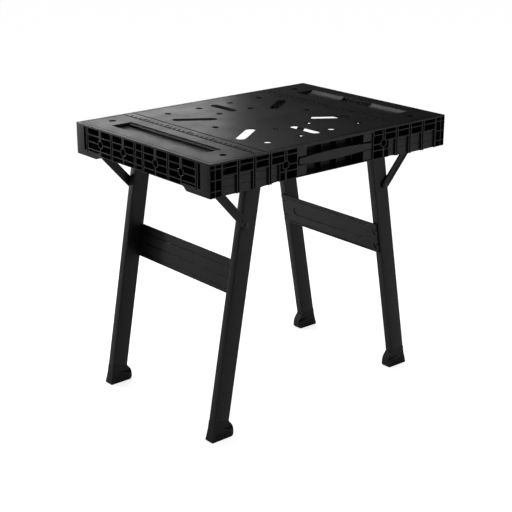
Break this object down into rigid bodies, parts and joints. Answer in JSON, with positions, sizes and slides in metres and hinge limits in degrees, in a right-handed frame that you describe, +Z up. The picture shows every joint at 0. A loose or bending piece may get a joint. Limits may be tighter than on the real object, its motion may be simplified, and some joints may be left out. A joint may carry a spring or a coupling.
{
  "type": "folding workbench",
  "caption": "Folding workbench with a ribbed moulded top, dog holes, clamp slots and tool trays, on splayed tube legs that slide and fold flat under the top",
  "frame": {"origin": "on the floor under the middle of the top", "axes": "+X along the length of the top, +Y across it from the front to the rear, +Z up"},
  "size_m": [0.85, 0.6, 0.785],
  "materials": {
    "moulded_plastic": "black moulded plastic with a fine matt grain",
    "foot_plastic": "black softer plastic, smooth satin",
    "coated_steel": "black powder coat, satin",
    "blackened_steel": "blackened steel pins and screws"
  },
  "bodies": {
    "bench_top": {"deck_panel": "moulded_plastic", "left_end_rail": "moulded_plastic", "right_end_rail": "moulded_plastic", "front_side_rail": "moulded_plastic", "rear_side_rail": "moulded_plastic", "front_carry_grip": "moulded_plastic", "rear_carry_grip": "moulded_plastic", "left_front_slide_rail": "coated_steel", "left_rear_slide_rail": "coated_steel", "left_front_strut_bracket": "coated_steel", "left_rear_strut_bracket": "coated_steel", "right_front_slide_rail": "coated_steel", "right_rear_slide_rail": "coated_steel", "right_front_strut_bracket": "coated_steel", "right_rear_strut_bracket": "coated_steel"},
    "left_carriage": {"left_front_slide_shoe": "moulded_plastic", "left_rear_slide_shoe": "moulded_plastic", "left_front_pivot_pin": "blackened_steel", "left_rear_pivot_pin": "blackened_steel"},
    "left_leg_frame": {"left_front_leg": "coated_steel", "left_rear_leg": "coated_steel", "left_front_leg_cap": "moulded_plastic", "left_rear_leg_cap": "moulded_plastic", "left_front_foot": "foot_plastic", "left_rear_foot": "foot_plastic", "left_cross_panel": "moulded_plastic", "left_front_panel_screw_upper": "blackened_steel", "left_rear_panel_screw_upper": "blackened_steel", "left_front_panel_screw_lower": "blackened_steel", "left_rear_panel_screw_lower": "blackened_steel", "left_front_strut_pin": "blackened_steel", "left_rear_strut_pin": "blackened_steel"},
    "left_struts": {"left_front_strut": "coated_steel", "left_rear_strut": "coated_steel", "left_front_strut_stud": "blackened_steel", "left_rear_strut_stud": "blackened_steel"},
    "right_carriage": {"right_front_slide_shoe": "moulded_plastic", "right_rear_slide_shoe": "moulded_plastic", "right_front_pivot_pin": "blackened_steel", "right_rear_pivot_pin": "blackened_steel"},
    "right_leg_frame": {"right_front_leg": "coated_steel", "right_rear_leg": "coated_steel", "right_front_leg_cap": "moulded_plastic", "right_rear_leg_cap": "moulded_plastic", "right_front_foot": "foot_plastic", "right_rear_foot": "foot_plastic", "right_cross_panel": "moulded_plastic", "right_front_panel_screw_upper": "blackened_steel", "right_rear_panel_screw_upper": "blackened_steel", "right_front_panel_screw_lower": "blackened_steel", "right_rear_panel_screw_lower": "blackened_steel", "right_front_strut_pin": "blackened_steel", "right_rear_strut_pin": "blackened_steel"},
    "right_struts": {"right_front_strut": "coated_steel", "right_rear_strut": "coated_steel", "right_front_strut_stud": "blackened_steel", "right_rear_strut_stud": "blackened_steel"}
  },
  "joints": [
    {"name": "left_slide", "type": "slide", "parent": "bench_top", "child": "left_carriage", "axis": [-1, 0, 0], "range_m": [0, 0.12134]},
    {"name": "left_fold", "type": "hinge", "parent": "left_carriage", "child": "left_leg_frame", "pos_m": [-0.23916, 0, 0.725], "axis": [0, -1, 0], "range_deg": [0, 97.5]},
    {"name": "left_strut_turn", "type": "hinge", "parent": "left_leg_frame", "child": "left_struts", "pos_m": [-0.2748, 0, 0.58912], "axis": [0, -1, 0], "range_deg": [-50.83, 0]},
    {"name": "right_slide", "type": "slide", "parent": "bench_top", "child": "right_carriage", "axis": [1, 0, 0], "range_m": [0, 0.12134]},
    {"name": "right_fold", "type": "hinge", "parent": "right_carriage", "child": "right_leg_frame", "pos_m": [0.23916, 0, 0.725], "axis": [0, 1, 0], "range_deg": [0, 97.5]},
    {"name": "right_strut_turn", "type": "hinge", "parent": "right_leg_frame", "child": "right_struts", "pos_m": [0.2748, 0, 0.58912], "axis": [0, 1, 0], "range_deg": [-50.83, 0]}
  ],
  "couplings": [
    {"joint": "left_slide", "follows": "left_fold", "m_per_rad": 0.071277},
    {"joint": "left_strut_turn", "follows": "left_fold", "ratio": -0.52122},
    {"joint": "right_slide", "follows": "left_fold", "m_per_rad": 0.071277},
    {"joint": "right_strut_turn", "follows": "left_fold", "ratio": -0.52122},
    {"joint": "right_fold", "follows": "left_fold", "ratio": 1}
  ]
}
